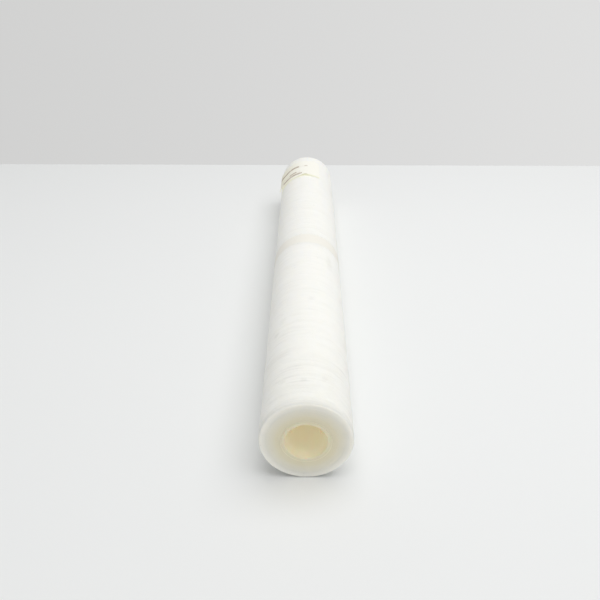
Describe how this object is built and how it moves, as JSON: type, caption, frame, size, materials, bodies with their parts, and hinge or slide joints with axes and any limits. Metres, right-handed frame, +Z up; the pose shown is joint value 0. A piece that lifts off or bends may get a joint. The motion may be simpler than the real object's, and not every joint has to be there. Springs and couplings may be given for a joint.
{
  "type": "water filter cartridge",
  "caption": "Long white spun fibre water filter cartridge lying on its side, with an open bore, a windowed plastic core, a joint band round the middle and a blank paper label.",
  "frame": {"origin": "centre of the whole cartridge, at the height of the flat it rests on", "axes": "+Z up, Y along the cartridge with the label near the +Y end, X across it"},
  "size_m": [0.063, 0.508, 0.0628],
  "materials": {
    "core_plastic": "uncoloured moulded polypropylene, cream and slightly translucent",
    "spun_fibre": "white spun polypropylene fibre with fine lines round it",
    "band_film": "smooth off-white polypropylene band",
    "label_paper": "cream uncoated paper with plain red-brown bars"
  },
  "bodies": {
    "root": {"core_front": "core_plastic", "core_rear": "core_plastic", "media_front": "spun_fibre", "media_rear": "spun_fibre", "joint_band": "band_film", "label": "label_paper"}
  },
  "joints": []
}
